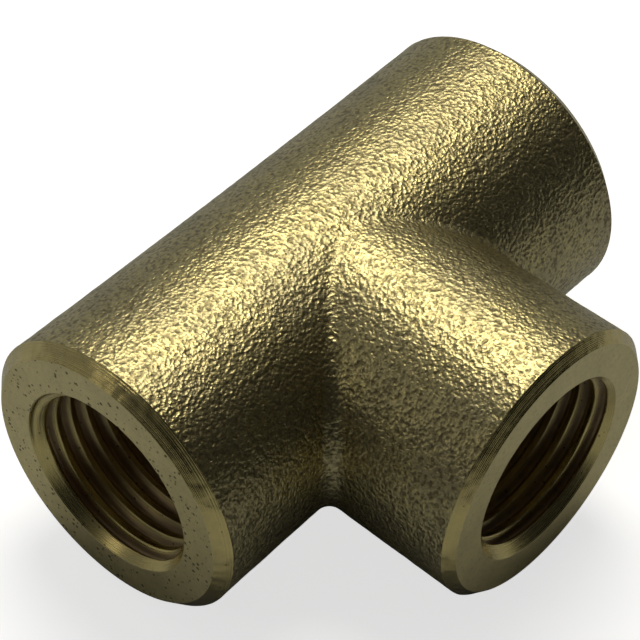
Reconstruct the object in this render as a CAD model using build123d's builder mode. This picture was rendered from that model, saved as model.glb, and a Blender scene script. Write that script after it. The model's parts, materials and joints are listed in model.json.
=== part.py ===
from build123d import *
import math
import os

# Equal tee fitting: a hot-forged brass body with a female G 1/8 pipe thread in each of its three ports.
# Frame: the run lies along X, the branch points along -Y, +Z is up, and the origin is where the axes cross.
# All sizes are in millimetres.

# Forged body
port_reach = 14.3  # from the crossing of the axes to each port face
run_end_dia = 14.7
run_waist_dia = 14.5
branch_end_dia = 14.3
branch_root_dia = 14.0
crotch_radius = 0.8
run_chamfer = 0.65
branch_chamfer = 0.5

# Bore of each port: countersunk mouth, tapping drill with its point, and the waterway to the crossing
mouth_dia = 9.84
tap_drill_dia = 8.8
tap_drill_depth = 9.6
drill_point_angle = 118.0
waterway_dia = 7.4

# G 1/8 thread: 28 to the inch, with 55 degree flanks
thread_pitch = 0.907
thread_major_dia = 9.728
thread_depth = 8.4  # from the port face to the last full groove
flank_angle = 55.0
root_flat = 0.12
thread_start_angle = 200.0

# The port cutter reaches this far into open air, so that no two of its faces coincide with the body's
overreach = 0.2

run_end_radius = run_end_dia / 2
run_waist_radius = run_waist_dia / 2
branch_end_radius = branch_end_dia / 2
branch_root_radius = branch_root_dia / 2
mouth_radius = mouth_dia / 2
tap_radius = tap_drill_dia / 2
waterway_radius = waterway_dia / 2
major_radius = thread_major_dia / 2
drill_point_length = (tap_radius - waterway_radius) / math.tan(math.radians(drill_point_angle / 2))

# Each port face, with its normal pointing out of the port
port_faces = [
    Plane((-port_reach, 0, 0), x_dir=(0, 0, 1), z_dir=(-1, 0, 0)),
    Plane((port_reach, 0, 0), x_dir=(0, 0, 1), z_dir=(1, 0, 0)),
    Plane((0, -port_reach, 0), x_dir=(0, 0, 1), z_dir=(0, -1, 0)),
]


def groove_half_width(radius):
    """Half the width of the thread groove at a distance from the port's axis."""
    return root_flat / 2 + (major_radius - radius) * math.tan(math.radians(flank_angle / 2))


# The thread's groove, with the port face at z = 0: it runs from its deep end out past the mouth
with BuildPart() as thread_groove:
    with BuildLine(Plane((0, 0, -thread_depth))) as groove_path:
        Helix(pitch=thread_pitch, height=thread_depth + thread_pitch, radius=tap_radius)
    with BuildSketch(Plane(groove_path.line @ 0, x_dir=(1, 0, 0), z_dir=groove_path.line % 0)):
        inner_radius = tap_radius - overreach
        with BuildLine():
            Polyline(
                (inner_radius - tap_radius, -groove_half_width(inner_radius)),
                (major_radius - tap_radius, -root_flat / 2),
                (major_radius - tap_radius, root_flat / 2),
                (inner_radius - tap_radius, groove_half_width(inner_radius)),
                close=True,
            )
        make_face()
    sweep(path=groove_path.line, is_frenet=True)

# The inside of one port, with the port face at z = 0 and the crossing of the axes below it
with BuildPart() as port_cutter:
    with BuildSketch(Plane.XZ):
        with BuildLine():
            Polyline(
                (0, overreach),
                (mouth_radius + overreach, overreach),
                (tap_radius, tap_radius - mouth_radius),
                (tap_radius, -tap_drill_depth),
                (waterway_radius, -tap_drill_depth - drill_point_length),
                (waterway_radius, -port_reach),
                (0, -port_reach),
                close=True,
            )
        make_face()
    revolve(axis=Axis.Z)
    with Locations(Rotation(0, 0, thread_start_angle)):
        add(thread_groove.part)

with BuildPart() as tee_body:
    # The run, very slightly waisted between its ports
    with BuildSketch(Plane.XY):
        with BuildLine():
            ThreePointArc(
                (-port_reach + run_chamfer, run_end_radius),
                (0, run_waist_radius),
                (port_reach - run_chamfer, run_end_radius),
            )
            Polyline(
                (port_reach - run_chamfer, run_end_radius),
                (port_reach, run_end_radius - run_chamfer),
                (port_reach, 0),
                (-port_reach, 0),
                (-port_reach, run_end_radius - run_chamfer),
                (-port_reach + run_chamfer, run_end_radius),
            )
        make_face()
    revolve(axis=Axis.X)

    # The branch, swelling slightly towards its port
    with BuildSketch(Plane.XY):
        with BuildLine():
            Polyline(
                (0, 0),
                (branch_root_radius, 0),
                (branch_end_radius, -port_reach + branch_chamfer),
                (branch_end_radius - branch_chamfer, -port_reach),
                (0, -port_reach),
                close=True,
            )
        make_face()
    revolve(axis=Axis.Y)

    # The crotch where the two barrels meet
    fillet(tee_body.edges().filter_by(GeomType.BSPLINE), crotch_radius)

    # The three threaded ports, which open into one another at the crossing
    with Locations(*port_faces):
        add(port_cutter.part, mode=Mode.SUBTRACT)

tee_body.part.label = "tee_body"
os.makedirs("parts", exist_ok=True)
export_step(tee_body.part, "parts/tee_body.step")
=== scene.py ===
"""Forged brass equal tee with three G 1/8 female ports, shown on a pale studio floor.

The visible forging is one closed mesh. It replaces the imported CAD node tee_body and stays inside its box.
Frame: the run lies along X, the branch points along -Y and +Z is up. All lengths are in metres.
"""

import cmath
import json
import math

import bmesh
import bpy
import numpy as np
from mathutils import Matrix, Quaternion, Vector, noise


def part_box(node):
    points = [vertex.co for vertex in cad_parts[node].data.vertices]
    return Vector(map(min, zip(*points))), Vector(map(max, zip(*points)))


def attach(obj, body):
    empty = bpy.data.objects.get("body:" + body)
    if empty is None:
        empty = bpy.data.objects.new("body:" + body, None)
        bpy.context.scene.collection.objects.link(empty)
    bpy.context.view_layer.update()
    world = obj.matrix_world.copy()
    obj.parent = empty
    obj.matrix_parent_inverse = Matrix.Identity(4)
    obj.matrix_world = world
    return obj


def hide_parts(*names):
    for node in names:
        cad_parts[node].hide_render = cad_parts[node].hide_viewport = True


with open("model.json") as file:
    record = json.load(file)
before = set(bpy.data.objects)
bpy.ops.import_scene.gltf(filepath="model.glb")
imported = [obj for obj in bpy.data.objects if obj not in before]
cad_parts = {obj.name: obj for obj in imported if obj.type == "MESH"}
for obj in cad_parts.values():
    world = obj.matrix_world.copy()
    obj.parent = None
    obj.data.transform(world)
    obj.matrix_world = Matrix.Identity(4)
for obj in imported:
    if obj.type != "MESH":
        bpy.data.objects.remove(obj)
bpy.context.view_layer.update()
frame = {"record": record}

MM = 0.001

# ---------------------------------------------------------------- sizes, from the frame where it has them
body_low, body_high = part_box("tee_body")
mounts = {mount["name"]: mount for mount in frame["record"]["mounts"]}

PORT_REACH = body_high.x
RUN_END_RADIUS = body_high.z
RUN_WAIST_RADIUS = RUN_END_RADIUS - 0.10 * MM
BRANCH_END_RADIUS = RUN_END_RADIUS - 0.20 * MM
BRANCH_ROOT_RADIUS = BRANCH_END_RADIUS - 0.15 * MM
CROTCH_RADIUS = 0.8 * MM
RUN_CHAMFER = 0.65 * MM
BRANCH_CHAMFER = 0.50 * MM
EDGE_RADIUS = 0.06 * MM

MOUTH_RADIUS = 4.92 * MM
TAP_RADIUS = mounts["branch_port"]["dims"]["r_mm"] * MM
TAP_DEPTH = 9.6 * MM
DRILL_POINT_ANGLE = math.radians(118)
WATERWAY_RADIUS = mounts["run_waterway"]["dims"]["r_mm"] * MM

PITCH = 0.907 * MM
MAJOR_RADIUS = 4.864 * MM
FLANK_HALF_ANGLE = math.radians(27.5)
ROOT_ROUND = 0.137 * PITCH
CREST_ROUND = 0.07 * MM
FULL_THREAD_DEPTH = 7.9 * MM
THREAD_END_DEPTH = 9.2 * MM
LEFT_GROOVE_DEPTH = 0.76 * MM  # of a groove's middle, straight below the port's axis
RIGHT_GROOVE_DEPTH = 0.40 * MM
BRANCH_GROOVE_DEPTH = 0.77 * MM

# ---------------------------------------------------------------- mesh density
SKIN_COLUMNS = 240  # round each barrel
BORE_COLUMNS = SKIN_COLUMNS // 2  # round each bore
RUN_ROWS = 64  # from a port's chamfer to the middle
BRANCH_ROWS = 48
MOUTH_RING_GAP = 0.036 * MM
MOUTH_RINGS_DEPTH = 1.0 * MM
CHAMFER_ROWS = (0.08, 0.35, 0.65)  # as shares of the way from the skin to the face
WATERWAY_ROWS = 8
ARC_STEPS = 3
WELD_DISTANCE = 1e-4 * MM
SWEEP_SIDES = 96
SWEEP_BEND_STEPS = 12

SKIN, FACE, CHAMFER, BORE = range(4)  # material slots of the forging


def smooth(t):
    """0 to 1 with flat ends."""
    t = np.clip(t, 0, 1)
    return t * t * (3 - 2 * t)


# ---------------------------------------------------------------- the closed mesh, gathered sheet by sheet
class Forging:
    """Vertices and faces of all sheets, which share their border points and are welded there at the end."""

    def __init__(self):
        self.points = []
        self.faces = []
        self.slots = []
        self.groove = []
        self.count = 0

    def add_points(self, points, groove=None):
        points = np.asarray(points, float)
        flat = points.reshape(-1, 3)
        index = self.count + np.arange(len(flat)).reshape(points.shape[:-1])
        self.points.append(flat)
        self.groove.append(np.zeros(len(flat)) if groove is None else np.asarray(groove, float).ravel())
        self.count += len(flat)
        return index

    def add_faces(self, corners, slot):
        self.faces += corners.reshape(-1, corners.shape[-1]).tolist()
        self.slots += [slot] * (corners.size // corners.shape[-1])

    def add_sheet(self, points, slot, groove=None):
        """A grid of rows and columns whose last column lies on the first."""
        index = self.add_points(points, groove)
        corners = [index[:-1, :-1], index[:-1, 1:], index[1:, 1:], index[1:, :-1]]
        self.add_faces(np.stack(corners, -1), slot)

    def add_fan(self, outer, inner, slot):
        """A flat band between a ring and one with half as many columns."""
        outer, inner = self.add_points(outer), self.add_points(inner)
        before, middle, after = outer[:-1:2], outer[1::2], outer[2::2]
        self.add_faces(np.stack([before, middle, inner[:-1]], -1), slot)
        self.add_faces(np.stack([middle, after, inner[1:]], -1), slot)
        self.add_faces(np.stack([middle, inner[1:], inner[:-1]], -1), slot)

    def finish(self, name):
        mesh = bpy.data.meshes.new(name)
        mesh.from_pydata(np.concatenate(self.points), [], self.faces)
        mesh.polygons.foreach_set("material_index", self.slots)
        groove = mesh.attributes.new("groove", "FLOAT", "POINT")
        groove.data.foreach_set("value", np.concatenate(self.groove))
        welded = bmesh.new()
        welded.from_mesh(mesh)
        bmesh.ops.remove_doubles(welded, verts=welded.verts, dist=WELD_DISTANCE)
        bmesh.ops.dissolve_degenerate(welded, edges=welded.edges, dist=WELD_DISTANCE)
        bmesh.ops.recalc_face_normals(welded, faces=welded.faces)
        for face in welded.faces:
            face.smooth = True
        open_edges = sum(not edge.is_manifold for edge in welded.edges)
        triangles = sum(len(face.verts) - 2 for face in welded.faces)
        print("forging", triangles, "triangles,", open_edges, "open edges")
        welded.to_mesh(mesh)
        welded.free()
        piece = bpy.data.objects.new(name, mesh)
        bpy.context.scene.collection.objects.link(piece)
        return piece


# ---------------------------------------------------------------- the forged skin
def station_angles(columns):
    """Angles round an axis, from straight down and back to it. 90 degrees is up."""
    return np.radians(np.linspace(-90, 270, columns + 1))


def run_radius(x):
    return RUN_WAIST_RADIUS + (RUN_END_RADIUS - RUN_WAIST_RADIUS) * (x / PORT_REACH) ** 2


def branch_radius(y):
    return BRANCH_ROOT_RADIUS + (BRANCH_END_RADIUS - BRANCH_ROOT_RADIUS) * np.abs(y) / PORT_REACH


def settle(points, rounds=5):
    """Moves points to the skin, which is both barrels and the rolled crotch, and gives its normals there."""
    points = np.array(points, float)
    normals = np.zeros_like(points)
    for _ in range(rounds):
        x, y, z = points[..., 0], points[..., 1], points[..., 2]
        across_run = np.stack([0 * x, y, z], -1)
        across_branch = np.stack([x, 0 * y, z], -1)
        run_size = np.linalg.norm(across_run, axis=-1)
        branch_size = np.linalg.norm(across_branch, axis=-1)
        run_out = across_run / run_size[..., None]
        branch_out = across_branch / np.maximum(branch_size, 1e-9)[..., None]
        over_run = run_size - run_radius(x)
        over_branch = np.where(y < 0, branch_size - branch_radius(y), 1.0)
        cosine = np.clip((run_out * branch_out).sum(-1), -0.999, 0.999)
        u, v = CROTCH_RADIUS - over_run, CROTCH_RADIUS - over_branch
        along_run, along_branch = u - cosine * v, v - cosine * u
        rolled = (along_run > 0) & (along_branch > 0) & (u > 0) & (v > 0)
        scale = 1 / (1 - cosine**2)
        to_centre = (along_run * scale)[..., None] * run_out
        to_centre = to_centre + (along_branch * scale)[..., None] * branch_out
        reach = np.linalg.norm(to_centre, axis=-1)
        nearer = np.where((over_run < over_branch)[..., None], run_out, branch_out)
        ball_out = to_centre / np.maximum(reach, 1e-12)[..., None]
        normals = np.where(rolled[..., None], ball_out, nearer)
        height = np.where(rolled, CROTCH_RADIUS - reach, np.minimum(over_run, over_branch))
        points -= height[..., None] * normals
    return points, normals


def junction(stations):
    """The line where the two plain barrels would meet, before the crotch is rolled between them."""
    x = -BRANCH_ROOT_RADIUS * np.cos(stations)
    z = BRANCH_ROOT_RADIUS * np.sin(stations)
    return np.stack([x, -np.sqrt(RUN_WAIST_RADIUS**2 - z**2), z], -1)


def run_end(stations):
    """Where the rows of a half run end: on the branch at the front, and in the middle behind it."""
    in_front = stations <= math.pi / 2 + 1e-9
    meeting = junction(np.where(in_front, stations, 0))
    tip = math.asin(BRANCH_ROOT_RADIUS / RUN_WAIST_RADIUS)
    behind = tip + (2 * math.pi - 2 * tip) * (stations - math.pi / 2) / math.pi
    angle = np.where(in_front, np.arctan2(meeting[:, 2], -meeting[:, 1]), behind)
    distance = np.where(in_front, -meeting[:, 0], 0)
    return angle, distance


def row_shares(rows, first=0.004):
    """Shares of the way from a chamfer inwards, from 0 to 1, with two close rows at the chamfer's edge."""
    return np.concatenate([[0, first, 2.5 * first], np.linspace(6 * first, 1, rows - 2)])


SWELL_SIZE = 1.5 * MM
SWELL_DEPTH = 0.016 * MM
RIPPLE_SIZE = 0.50 * MM
RIPPLE_DEPTH = 0.024 * MM

KNOCK_DEPTH = 0.05 * MM
# Small dents from handling: (place on the skin, radius), in millimetres. The photo shows the first three.
KNOCKS = [
    ((0.0, -0.5, 7.2), 0.45),
    ((8.0, -3.0, 6.6), 0.40),
    ((11.2, 2.9, 6.7), 0.35),
    ((3.1, -10.4, 6.3), 0.40),
    ((6.2, 7.0, 1.8), 0.50),
    ((-4.0, 5.6, -4.6), 0.45),
    ((-5.9, -11.2, -3.7), 0.40),
]


def hollows(points):
    """How far the blasted skin lies under its nominal surface: swells, ripples and a few knocks."""
    flat = points.reshape(-1, 3)
    depth = np.empty(len(flat))
    for i, p in enumerate(flat.tolist()):
        place = Vector(p)
        swell = noise.noise(place / SWELL_SIZE)
        ripple = noise.fractal(place / RIPPLE_SIZE, 0.8, 2.0, 2)
        depth[i] = SWELL_DEPTH * (0.5 + 0.5 * swell) + RIPPLE_DEPTH * (0.5 + 0.5 * ripple)
    depth = np.clip(depth, 0, None)
    for place, radius in KNOCKS:
        distance = np.linalg.norm(flat - np.array(place) * MM, axis=1)
        depth += KNOCK_DEPTH * smooth(1 - distance / (radius * MM))
    return depth.reshape(points.shape[:-1])


def worn(points, chamfer_row, outward):
    """The skin with its hollows. Its row on the chamfer slides along the cone, so the cut stays true."""
    settled, normals = settle(points)
    settled[chamfer_row] = points[chamfer_row]
    depth = hollows(settled)
    made = settled - depth[..., None] * normals
    made[chamfer_row] += depth[chamfer_row][..., None] * np.array(outward, float)
    return made


def run_skin(forging, side):
    """One half of the run, on side -1 or 1 along X. Gives the ring on its chamfer."""
    share = row_shares(RUN_ROWS)[:, None]
    start_angle = station_angles(SKIN_COLUMNS)
    end_angle, end_distance = run_end(start_angle)
    angle = start_angle + (end_angle - start_angle) * smooth(share)
    x = side * ((PORT_REACH - RUN_CHAMFER) * (1 - share) + end_distance * share)
    radius = run_radius(x)
    radius[0] = RUN_END_RADIUS
    radius[-1] = RUN_WAIST_RADIUS
    points = worn(np.stack([x, -radius * np.cos(angle), radius * np.sin(angle)], -1), 0, (side, 0, 0))
    forging.add_sheet(points, SKIN)
    return points[0]


def branch_skin(forging):
    """The branch from its chamfer to the crotch. Gives the ring on its chamfer."""
    share = row_shares(BRANCH_ROWS)[:, None]
    angle = station_angles(SKIN_COLUMNS)
    meeting = junction(angle)
    y = meeting[:, 1] * share - (PORT_REACH - BRANCH_CHAMFER) * (1 - share)
    radius = branch_radius(y)
    radius[0] = BRANCH_END_RADIUS
    points = np.stack([-radius * np.cos(angle), y, radius * np.sin(angle)], -1)
    points[-1] = meeting
    points = worn(points, 0, (0, -1, 0))
    forging.add_sheet(points, SKIN)
    return points[0]


# ---------------------------------------------------------------- ports: chamfer, face and thread
class Port:
    """Turns (depth below the face, distance from the port's axis, angle) into places on one port."""

    def __init__(self, axis, chamfer, end_radius, hand, groove_depth):
        self.axis = Vector(axis)
        self.chamfer = chamfer
        self.end_radius = end_radius
        self.hand = hand
        self.groove_depth = groove_depth

    def at(self, depth, radius, angle):
        depth, radius, angle = np.broadcast_arrays(depth, radius, angle)
        sideways = -radius * np.cos(angle)
        along = PORT_REACH - depth
        if self.axis.y:
            return np.stack([sideways, along * self.axis.y, radius * np.sin(angle)], -1)
        return np.stack([along * self.axis.x, sideways, radius * np.sin(angle)], -1)

    def groove_at(self, angle):
        """Depth of a groove's middle at an angle. The helix is right-handed seen into every port."""
        turns = (angle + math.pi / 2) / (2 * math.pi)
        return self.groove_depth + self.hand * PITCH * turns


def rounded(corners, radius, steps=ARC_STEPS):
    """A (depth, radius) outline with an arc in place of each inner corner."""
    points = [complex(*corner) for corner in corners]
    outline = [points[0]]
    for before, corner, after in zip(points, points[1:], points[2:]):
        back, on = before - corner, after - corner
        back, on = back / abs(back), on / abs(on)
        half = abs(cmath.phase(on / back)) / 2
        bisector = (back + on) / abs(back + on)
        centre = corner + bisector * radius / math.sin(half)
        first = corner + back * radius / math.tan(half) - centre
        last = corner + on * radius / math.tan(half) - centre
        turn = cmath.phase(last / first)
        for step in range(steps + 1):
            outline.append(centre + first * cmath.exp(1j * turn * step / steps))
    return [(point.real, point.imag) for point in outline + [points[-1]]]


def thread_knots():
    """Half of the thread's section, from the root's middle to the crest's: (way along the axis, radius)."""
    full_turn = math.pi / 2 - FLANK_HALF_ANGLE
    root_end = ROOT_ROUND * math.sin(full_turn)
    root_radius = MAJOR_RADIUS - ROOT_ROUND * (1 - math.cos(full_turn))
    sharp_crest = root_end + (root_radius - TAP_RADIUS) * math.tan(FLANK_HALF_ANGLE)
    flat_start = sharp_crest + CREST_ROUND * math.tan(full_turn / 2)
    knots = [(0, MAJOR_RADIUS), (root_end, root_radius)]
    for turn in (full_turn, full_turn / 2, 0):
        along = flat_start - CREST_ROUND * math.sin(turn)
        knots.append((along, TAP_RADIUS + CREST_ROUND * (1 - math.cos(turn))))
    knots.append((PITCH / 2, TAP_RADIUS))
    return np.array(knots)


def bore_wall(port, depth, angle):
    """The wall's distance from the port's axis, and how deep in a thread groove it is, from 0 to 1.

    The wall is the larger of the countersink's cone and the thread, which runs out to the tapping bore.
    """
    knots = thread_knots()
    offset = np.abs((depth - port.groove_at(angle) + PITCH / 2) % PITCH - PITCH / 2)
    cut = np.interp(offset, knots[:, 0], knots[:, 1]) - TAP_RADIUS
    cut = cut * np.clip((THREAD_END_DEPTH - depth) / (THREAD_END_DEPTH - FULL_THREAD_DEPTH), 0, 1)
    land = np.maximum(MOUTH_RADIUS - depth, TAP_RADIUS)
    wall = np.maximum(land, TAP_RADIUS + cut)
    return wall, (wall - land) / (MAJOR_RADIUS - TAP_RADIUS)


def port_front(forging, port, chamfer_ring):
    """Chamfer and flat face, down to the mouth's edge."""
    outer_angle = station_angles(SKIN_COLUMNS)
    inner_angle = station_angles(BORE_COLUMNS)
    lip = 2 * EDGE_RADIUS
    corners = [
        (port.chamfer, port.end_radius),
        (0, port.end_radius - port.chamfer),
        (0, port.end_radius - port.chamfer - 4 * lip),
    ]
    rings = rounded(corners, EDGE_RADIUS)[1:]
    cone = [(port.chamfer * (1 - s), port.end_radius - port.chamfer * s) for s in CHAMFER_ROWS]
    chamfer = [chamfer_ring] + [port.at(d, r, outer_angle) for d, r in cone + rings[:2]]
    forging.add_sheet(np.stack(chamfer), CHAMFER)
    face = [port.at(d, r, outer_angle) for d, r in rings[1:]]
    face.insert(-1, port.at(0, corners[1][1] - lip, outer_angle))
    forging.add_sheet(np.stack(face), FACE)
    edge = [(0, MOUTH_RADIUS + 3 * lip), (0, MOUTH_RADIUS), (lip, MOUTH_RADIUS - lip)]
    mouth = rounded(edge, EDGE_RADIUS)[:-1]
    mouth.insert(1, (0, MOUTH_RADIUS + lip))
    inner = [port.at(d, r, inner_angle) for d, r in mouth]
    forging.add_fan(face[-1], inner[0], FACE)
    forging.add_sheet(np.stack(inner), FACE)
    return mouth[-1]


def mouth_rings(forging, port, start):
    """The countersink and the first turn of the thread, in fine level rings."""
    angle = station_angles(BORE_COLUMNS)[None, :]
    count = round((MOUTH_RINGS_DEPTH - start[0]) / MOUTH_RING_GAP)
    depth = np.linspace(start[0], MOUTH_RINGS_DEPTH, count + 1)[:, None] + 0 * angle
    radius, groove = bore_wall(port, depth, angle)
    radius[0] = start[1]
    forging.add_sheet(port.at(depth, radius, angle), BORE, groove)


def thread_turns(forging, port):
    """The rest of the thread, in rows that follow its helix."""
    angle = station_angles(BORE_COLUMNS)[None, :]
    half = thread_knots()[:, 0]
    section = np.concatenate([-half[:0:-1], half])[1:]
    turns = np.arange(-1, math.ceil(TAP_DEPTH / PITCH) + 2) * PITCH
    row = (turns[:, None] + section).ravel()[:, None]
    depth = np.clip(row + port.groove_at(angle), MOUTH_RINGS_DEPTH, THREAD_END_DEPTH)
    radius, groove = bore_wall(port, depth, angle)
    forging.add_sheet(port.at(depth, radius, angle), BORE, groove)


def waterway(forging, port):
    """Below the thread: the end of the tapping bore, the drill's point, and the way to the crossing."""
    angle = station_angles(BORE_COLUMNS)[None, :]
    point_length = (TAP_RADIUS - WATERWAY_RADIUS) / math.tan(DRILL_POINT_ANGLE / 2)
    corners = [
        (THREAD_END_DEPTH, TAP_RADIUS),
        (TAP_DEPTH, TAP_RADIUS),
        (TAP_DEPTH + point_length, WATERWAY_RADIUS),
        (TAP_DEPTH + point_length + 4 * EDGE_RADIUS, WATERWAY_RADIUS),
    ]
    rings = rounded(corners, EDGE_RADIUS)
    upper = [port.at(d, r, angle[0]) for d, r in rings]
    if port.axis.y:
        stop = WATERWAY_RADIUS * np.abs(np.cos(angle))
    else:
        stop = WATERWAY_RADIUS * np.where(angle <= math.pi / 2 + 1e-9, np.cos(angle), 0)
    share = np.linspace(0, 1, WATERWAY_ROWS + 1)[1:, None]
    depth = rings[-1][0] * (1 - share) + (PORT_REACH - stop) * share
    lower = port.at(depth, WATERWAY_RADIUS, angle)
    forging.add_sheet(np.concatenate([np.stack(upper), lower]), BORE)


def make_forging():
    """The whole fitting as one closed mesh."""
    forging = Forging()
    left = Port((-1, 0, 0), RUN_CHAMFER, RUN_END_RADIUS, -1, LEFT_GROOVE_DEPTH)
    right = Port((1, 0, 0), RUN_CHAMFER, RUN_END_RADIUS, 1, RIGHT_GROOVE_DEPTH)
    branch = Port((0, -1, 0), BRANCH_CHAMFER, BRANCH_END_RADIUS, 1, BRANCH_GROOVE_DEPTH)
    chamfer_rings = [run_skin(forging, -1), run_skin(forging, 1), branch_skin(forging)]
    for port, chamfer_ring in zip((left, right, branch), chamfer_rings):
        mouth = port_front(forging, port, chamfer_ring)
        mouth_rings(forging, port, mouth)
        thread_turns(forging, port)
        waterway(forging, port)
    return forging.finish("tee_forging")


# ---------------------------------------------------------------- materials
class Nodes:
    """A material's node tree, with short ways to add and join nodes."""

    def __init__(self, name):
        self.material = bpy.data.materials.new(name)
        self.material.use_nodes = True
        self.tree = self.material.node_tree
        self.shader = next(n for n in self.tree.nodes if n.type == "BSDF_PRINCIPLED")
        self.place = self.tree.nodes.new("ShaderNodeTexCoord").outputs["Object"]

    def give(self, socket, value):
        if isinstance(value, bpy.types.NodeSocket):
            self.tree.links.new(value, socket)
        else:
            socket.default_value = value

    def add(self, kind, inputs, **settings):
        node = self.tree.nodes.new(kind)
        for name, value in settings.items():
            setattr(node, name, value)
        for name, value in inputs.items():
            self.give(node.inputs[name], value)
        return node

    def math(self, operation, a, b=0.0, clamp=False):
        node = self.add("ShaderNodeMath", {0: a, 1: b}, operation=operation, use_clamp=clamp)
        return node.outputs[0]

    def noise(self, size, detail=2.0, roughness=0.5, distortion=0.0, place=None, kind="FBM"):
        inputs = {"Vector": place or self.place, "Scale": 1 / size, "Detail": detail}
        inputs.update({"Roughness": roughness, "Distortion": distortion})
        node = self.add("ShaderNodeTexNoise", inputs, noise_dimensions="3D", noise_type=kind)
        return node.outputs[0]

    def ramp(self, value, low, high, out_low=0.0, out_high=1.0):
        inputs = {"Value": value, "From Min": low, "From Max": high}
        inputs.update({"To Min": out_low, "To Max": out_high})
        return self.add("ShaderNodeMapRange", inputs, clamp=True).outputs["Result"]

    def mix(self, share, a, b):
        node = self.add("ShaderNodeMix", {}, data_type="RGBA")
        self.give(node.inputs["Factor"], share)
        for socket, value in ((node.inputs[6], a), (node.inputs[7], b)):
            self.give(socket, (*value, 1.0) if isinstance(value, tuple) else value)
        return node.outputs[2]

    def bump(self, height, distance, under=None):
        inputs = {"Height": height, "Distance": distance, "Strength": 1.0}
        node = self.add("ShaderNodeBump", inputs)
        if under is not None:
            self.give(node.inputs["Normal"], under)
        return node.outputs["Normal"]


SKIN_BRASS = (0.71, 0.595, 0.25)
DULL_SKIN = (0.40, 0.345, 0.19)
CUT_BRASS = (0.80, 0.64, 0.235)
FACE_BRASS = (0.87, 0.735, 0.345)
DULL_BRASS = (0.52, 0.43, 0.205)
PIT_BROWN = (0.12, 0.09, 0.045)
# Reddish oxide colour, also used to paint shade into the thread grooves and deeper inside the bores.
OXIDE_AND_SHADE_BROWN = (0.52, 0.385, 0.215)

WRINKLE_SIZE = 0.155 * MM
CRUMPLE_SIZE = 0.26 * MM
CREASE_SIZE = 0.24 * MM
CREASE_WIDTH = 0.06  # as a share of the noise that the creases follow
CELL_SIZE = 0.20 * MM
GRAIN_DEPTH = 0.052 * MM
MOTTLE_SIZE = 0.15 * MM
PATCH_SIZE = 2.6 * MM
FACE_LINE_WIDTH = 0.05 * MM
CHAMFER_LINE_WIDTH = 0.045 * MM
FACE_LINE_DEPTH = 0.006 * MM
CHAMFER_LINE_DEPTH = 0.028 * MM


def forged_skin():
    """Hot-forged and shot-blasted skin: fine wrinkled grain, duller in its pits."""
    nodes = Nodes("forged_skin")
    wrinkle = nodes.noise(WRINKLE_SIZE, detail=1.0, roughness=0.35)
    crumple = nodes.noise(CRUMPLE_SIZE, detail=0.0)
    crease = nodes.noise(CREASE_SIZE, detail=1.0)
    crease = nodes.math("ABSOLUTE", nodes.math("SUBTRACT", crease, 0.5))
    crease = nodes.math("MINIMUM", crease, CREASE_WIDTH)
    height = nodes.math("ADD", wrinkle, nodes.math("MULTIPLY", crumple, 0.7))
    height = nodes.math("ADD", height, nodes.math("MULTIPLY", crease, 0.6))
    cells = nodes.add("ShaderNodeTexVoronoi", {"Vector": nodes.place, "Scale": 1 / CELL_SIZE})
    cells = nodes.math("SUBTRACT", cells.outputs["Distance"], 0.5)
    height = nodes.math("ADD", height, nodes.math("MULTIPLY", cells, 0.25))
    patches = nodes.noise(PATCH_SIZE, detail=3.0, roughness=0.6)
    mottle = nodes.noise(MOTTLE_SIZE, detail=1.5)
    pits = nodes.ramp(height, 0.92, 0.66)
    colour = nodes.mix(nodes.ramp(patches, 0.38, 0.66, 0.0, 0.55), SKIN_BRASS, DULL_SKIN)
    colour = nodes.mix(nodes.ramp(mottle, 0.40, 0.64, 0.0, 0.7), colour, DULL_SKIN)
    colour = nodes.mix(nodes.math("MULTIPLY", pits, 0.65), colour, PIT_BROWN)
    shine = nodes.ramp(patches, 0.3, 0.7, 0.33, 0.39)
    shine = nodes.math("ADD", shine, nodes.math("MULTIPLY", pits, 0.08))
    nodes.give(nodes.shader.inputs["Base Color"], colour)
    nodes.give(nodes.shader.inputs["Roughness"], shine)
    nodes.give(nodes.shader.inputs["Normal"], nodes.bump(height, GRAIN_DEPTH))
    nodes.shader.inputs["Metallic"].default_value = 1.0
    return nodes.material


def place_parts(nodes):
    """A point's X, Y and Z in the object."""
    return nodes.add("ShaderNodeSeparateXYZ", {"Vector": nodes.place}).outputs


def from_port_axis(nodes):
    """Distance of a point from the axis of the port that it belongs to."""
    x, y, z = place_parts(nodes)
    on_run = nodes.math("GREATER_THAN", nodes.math("ABSOLUTE", x), nodes.math("ABSOLUTE", y))
    sideways = nodes.add("ShaderNodeMix", {}, data_type="FLOAT")
    nodes.give(sideways.inputs["Factor"], on_run)
    nodes.give(sideways.inputs[2], x)
    nodes.give(sideways.inputs[3], y)
    square = nodes.math("MULTIPLY", sideways.outputs[0], sideways.outputs[0])
    square = nodes.math("ADD", square, nodes.math("MULTIPLY", z, z))
    return nodes.math("SQRT", square)


def turning_lines(nodes, radius, width):
    """Fine concentric tool marks, as a height that changes only with the distance from the axis."""
    inputs = {"W": nodes.math("DIVIDE", radius, width), "Scale": 1.0, "Detail": 2.0, "Roughness": 0.6}
    node = nodes.add("ShaderNodeTexNoise", inputs, noise_dimensions="1D")
    return node.outputs[0]


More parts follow.
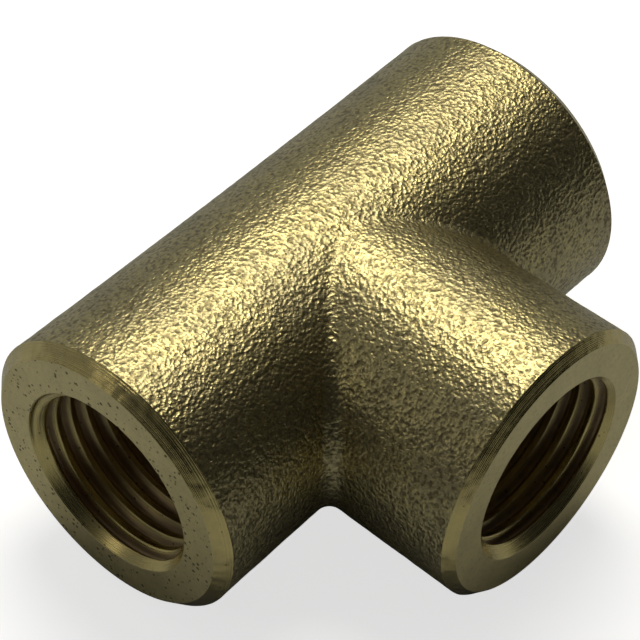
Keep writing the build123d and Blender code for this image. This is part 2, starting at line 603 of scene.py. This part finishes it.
def specks(nodes, spacing, size, share):
    """Small dark spots, at most one in each cell of the given spacing, gathered in loose clusters."""
    cells = nodes.add("ShaderNodeTexVoronoi", {"Vector": nodes.place, "Scale": 1 / spacing})
    chance, scale, _ = nodes.add("ShaderNodeSeparateColor", {"Color": cells.outputs["Color"]}).outputs
    ragged = nodes.math("MULTIPLY", nodes.noise(0.3 * spacing, detail=1.0), 0.8 * size / spacing)
    distance = nodes.math("ADD", cells.outputs["Distance"], ragged)
    reach = nodes.ramp(scale, 0.0, 1.0, 0.8 * size / spacing, 1.5 * size / spacing)
    inside = nodes.math("SUBTRACT", reach, distance)
    spot = nodes.math("MULTIPLY", inside, 3 * spacing / size, clamp=True)
    clusters = nodes.ramp(nodes.noise(2.0 * MM, detail=1.0), 0.35, 0.65, 0.4 * share, share)
    return nodes.math("MULTIPLY", spot, nodes.math("LESS_THAN", chance, clusters))


def turned_face():
    """Flat port faces: dull turned brass with dark specks, most of them on the port at -X."""
    nodes = Nodes("turned_face")
    lines = turning_lines(nodes, from_port_axis(nodes), FACE_LINE_WIDTH)
    on_left = nodes.math("LESS_THAN", place_parts(nodes)["X"], -PORT_REACH + RUN_CHAMFER)
    share = nodes.ramp(on_left, 0.0, 1.0, 0.12, 0.85)
    dark = nodes.math("MULTIPLY", specks(nodes, 0.26 * MM, 0.095 * MM, 1.0), share)
    cloud = nodes.noise(1.8 * MM, detail=4.0, roughness=0.65)
    mottle = nodes.noise(0.22 * MM, detail=2.0)
    colour = nodes.mix(nodes.ramp(cloud, 0.35, 0.7, 0.0, 0.3), FACE_BRASS, DULL_BRASS)
    colour = nodes.mix(nodes.ramp(mottle, 0.45, 0.7, 0.0, 0.25), colour, DULL_BRASS)
    colour = nodes.mix(dark, colour, PIT_BROWN)
    shine = nodes.ramp(lines, 0.3, 0.7, 0.42, 0.52)
    shine = nodes.math("ADD", shine, nodes.math("MULTIPLY", dark, 0.2))
    grain = nodes.noise(0.12 * MM, detail=1.0)
    normal = nodes.bump(grain, 0.012 * MM, nodes.bump(lines, FACE_LINE_DEPTH))
    nodes.give(nodes.shader.inputs["Base Color"], colour)
    nodes.give(nodes.shader.inputs["Roughness"], shine)
    nodes.give(nodes.shader.inputs["Normal"], normal)
    nodes.shader.inputs["Metallic"].default_value = 1.0
    return nodes.material


def turned_chamfer():
    """Chamfers: brighter cut brass with clear tool lines, and facets where the tool chattered."""
    nodes = Nodes("turned_chamfer")
    lines = turning_lines(nodes, from_port_axis(nodes), CHAMFER_LINE_WIDTH)
    chatter = nodes.noise(0.9 * MM, detail=1.5)
    stain = nodes.noise(0.7 * MM, detail=3.0, roughness=0.6)
    colour = nodes.mix(nodes.ramp(stain, 0.4, 0.75, 0.0, 0.5), CUT_BRASS, DULL_BRASS)
    dark = specks(nodes, 0.35 * MM, 0.07 * MM, 0.5)
    colour = nodes.mix(nodes.math("MULTIPLY", dark, 0.8), colour, PIT_BROWN)
    colour = nodes.mix(nodes.ramp(lines, 0.45, 0.7, 0.0, 0.3), colour, DULL_BRASS)
    shine = nodes.ramp(lines, 0.3, 0.7, 0.17, 0.28)
    normal = nodes.bump(lines, CHAMFER_LINE_DEPTH, nodes.bump(chatter, 0.10 * MM))
    nodes.give(nodes.shader.inputs["Base Color"], colour)
    nodes.give(nodes.shader.inputs["Roughness"], shine)
    nodes.give(nodes.shader.inputs["Normal"], normal)
    nodes.shader.inputs["Metallic"].default_value = 1.0
    return nodes.material


def tapped_bore():
    """Countersink, thread and waterway: bright crests, with browner grooves that are partly oxide and partly
    painted shade, and painted shade deeper inside.
    """
    nodes = Nodes("tapped_bore")
    groove = nodes.add("ShaderNodeAttribute", {}, attribute_name="groove").outputs["Fac"]
    x, y, _ = place_parts(nodes)
    along = nodes.math("MAXIMUM", nodes.math("ABSOLUTE", x), nodes.math("ABSOLUTE", y))
    depth = nodes.math("SUBTRACT", PORT_REACH, along)
    stain = nodes.noise(0.9 * MM, detail=3.0, roughness=0.6)
    patches = nodes.ramp(stain, 0.3, 0.6, 0.75, 1.0)
    # Browner in the thread grooves: partly oxide, partly painted shade.
    oxide_and_painted_shade = nodes.math("MULTIPLY", nodes.ramp(groove, 0.20, 0.50), patches)
    # Painted shade: browner the deeper a point lies in the bore.
    oxide_and_painted_shade = nodes.math("MAXIMUM", oxide_and_painted_shade, nodes.ramp(depth, 0.8 * MM, 4.0 * MM, 0.0, 0.6))
    colour = nodes.mix(nodes.ramp(stain, 0.35, 0.7, 0.0, 0.35), CUT_BRASS, DULL_BRASS)
    colour = nodes.mix(oxide_and_painted_shade, colour, OXIDE_AND_SHADE_BROWN)
    dark = specks(nodes, 0.35 * MM, 0.07 * MM, 0.5)
    colour = nodes.mix(nodes.math("MULTIPLY", dark, 0.8), colour, PIT_BROWN)
    lines = turning_lines(nodes, from_port_axis(nodes), FACE_LINE_WIDTH)
    shine = nodes.ramp(lines, 0.3, 0.7, 0.22, 0.30)
    shine = nodes.math("ADD", shine, nodes.math("MULTIPLY", oxide_and_painted_shade, 0.25))
    nodes.give(nodes.shader.inputs["Base Color"], colour)
    nodes.give(nodes.shader.inputs["Roughness"], shine)
    nodes.give(nodes.shader.inputs["Normal"], nodes.bump(lines, FACE_LINE_DEPTH))
    nodes.shader.inputs["Metallic"].default_value = 1.0
    return nodes.material


def pale_floor():
    """Pale matt floor, a little lit from within so that it ends in white."""
    nodes = Nodes("pale_floor")
    nodes.shader.inputs["Base Color"].default_value = (0.8, 0.8, 0.79, 1)
    nodes.shader.inputs["Roughness"].default_value = 0.9
    nodes.shader.inputs["Emission Color"].default_value = (1, 1, 1, 1)
    nodes.shader.inputs["Emission Strength"].default_value = 0.7
    return nodes.material


def grey_table():
    """Plain cool grey table, seen only in the brass."""
    nodes = Nodes("grey_table")
    nodes.shader.inputs["Base Color"].default_value = (0.53, 0.565, 0.64, 1)
    nodes.shader.inputs["Roughness"].default_value = 0.9
    return nodes.material


# ---------------------------------------------------------------- studio
FLOOR_RADIUS = 0.5
FLOOR_BEND = 0.3
WALL_HEIGHT = 0.9
TABLE_RADIUS = 0.3
TABLE_RIM = 0.01
TABLE_DROP = 0.05 * MM
LAMP_DISTANCE = 0.30


def make_sweep(name, z, flat_radius, bend_radius, wall_height, material):
    """A round floor that bends up into a wall, so that every view ends on the same pale tone."""
    profile = []
    for step in range(SWEEP_BEND_STEPS + 1):
        turn = math.pi / 2 * step / SWEEP_BEND_STEPS
        radius = flat_radius + bend_radius * math.sin(turn)
        profile.append((radius, z + bend_radius * (1 - math.cos(turn))))
    profile.append((flat_radius + bend_radius, z + wall_height))
    sweep = bmesh.new()
    rings = []
    for radius, height in profile:
        ring = []
        for i in range(SWEEP_SIDES):
            turn = 2 * math.pi * i / SWEEP_SIDES
            ring.append(sweep.verts.new((radius * math.cos(turn), radius * math.sin(turn), height)))
        rings.append(ring)
    sweep.faces.new(rings[0])
    for lower, upper in zip(rings, rings[1:]):
        for i in range(SWEEP_SIDES):
            j = (i + 1) % SWEEP_SIDES
            sweep.faces.new((upper[i], upper[j], lower[j], lower[i]))
    mesh = bpy.data.meshes.new(name)
    sweep.to_mesh(mesh)
    sweep.free()
    for face in mesh.polygons:
        face.use_smooth = True
    mesh.materials.append(material)
    floor = bpy.data.objects.new(name, mesh)
    bpy.context.scene.collection.objects.link(floor)
    return floor


def make_floor():
    """The pale floor is what the camera sees. The brass reflects a plain table just under it instead."""
    floor = make_sweep("studio_floor", body_low.z, FLOOR_RADIUS, FLOOR_BEND, WALL_HEIGHT, pale_floor())
    floor.visible_glossy = False
    floor.visible_diffuse = False
    floor.visible_shadow = False
    table_top = body_low.z - TABLE_DROP
    table = make_sweep("studio_table", table_top, TABLE_RADIUS, TABLE_RIM, TABLE_RIM, grey_table())
    table.visible_camera = False


def add_softbox(name, direction, width, length, power, colour):
    """An oval lamp that shines at the origin. Its length runs along Y, as far as its tilt allows."""
    light = bpy.data.lights.new(name, "AREA")
    light.shape = "ELLIPSE"
    light.size = width
    light.size_y = length
    light.energy = power
    light.color = colour
    lamp = bpy.data.objects.new(name, light)
    lamp.location = Vector(direction).normalized() * LAMP_DISTANCE
    back = lamp.location.normalized()
    along = (Vector((0, 1, 0)) - back * back.y).normalized()
    lamp.rotation_mode = "QUATERNION"
    lamp.rotation_quaternion = Matrix((along.cross(back), along, back)).transposed().to_quaternion()
    bpy.context.scene.collection.objects.link(lamp)


def make_world():
    """Dim room: darkest in front, lighter behind the object."""
    world = bpy.data.worlds.new("dim_room")
    world.use_nodes = True
    tree = world.node_tree
    back = next(n for n in tree.nodes if n.type == "BACKGROUND")
    place = tree.nodes.new("ShaderNodeTexCoord").outputs["Generated"]
    toward = tree.nodes.new("ShaderNodeVectorMath")
    toward.operation = "DOT_PRODUCT"
    toward.inputs[1].default_value = (0.25, 0.95, 0.1)
    tree.links.new(place, toward.inputs[0])
    ramp = tree.nodes.new("ShaderNodeMapRange")
    for name, value in (("From Min", -0.3), ("From Max", 0.95), ("To Min", 0.01), ("To Max", 0.20)):
        ramp.inputs[name].default_value = value
    tree.links.new(toward.outputs["Value"], ramp.inputs["Value"])
    tree.links.new(ramp.outputs["Result"], back.inputs["Strength"])
    back.inputs["Color"].default_value = (0.93, 0.98, 1.08, 1)
    bpy.context.scene.world = world


CAMERA_TARGET = Vector((-0.075, -0.382, -0.273)) * MM
CAMERA_AZIMUTH = math.radians(-49.89)
CAMERA_ELEVATION = math.radians(48.02)
CAMERA_DISTANCE = 130.6 * MM
CAMERA_ROLL = math.radians(1.96)
CAMERA_LENS = 153.5  # millimetres on a 36 mm sensor


def make_camera():
    """Long lens at the photo's angle, with no shift and no depth of field."""
    data = bpy.data.cameras.new("camera")
    data.sensor_width = 36
    data.lens = CAMERA_LENS
    data.clip_start = 0.01
    data.clip_end = 10
    camera = bpy.data.objects.new("camera", data)
    level = math.cos(CAMERA_ELEVATION)
    aside = Vector((math.sin(CAMERA_AZIMUTH), -math.cos(CAMERA_AZIMUTH), 0)) * level
    back = aside + Vector((0, 0, math.sin(CAMERA_ELEVATION)))
    camera.location = CAMERA_TARGET + back * CAMERA_DISTANCE
    camera.rotation_mode = "QUATERNION"
    camera.rotation_quaternion = (-back).to_track_quat("-Z", "Y") @ Quaternion((0, 0, 1), CAMERA_ROLL)
    bpy.context.scene.collection.objects.link(camera)
    bpy.context.scene.camera = camera


# ---------------------------------------------------------------- scene
forging = make_forging()
for material in (forged_skin(), turned_face(), turned_chamfer(), tapped_bore()):
    forging.data.materials.append(material)
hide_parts("tee_body")
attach(forging, "root")

make_floor()
make_world()
add_softbox("main_softbox", (0.34, 0.30, 0.89), 0.165, 0.21, 0.445, (1, 0.97, 0.88))
add_softbox("side_reflector", (-0.73, 0.46, 0.50), 0.08, 0.08, 0.019, (1, 0.96, 0.88))
make_camera()
bpy.context.scene.view_settings.view_transform = "Standard"
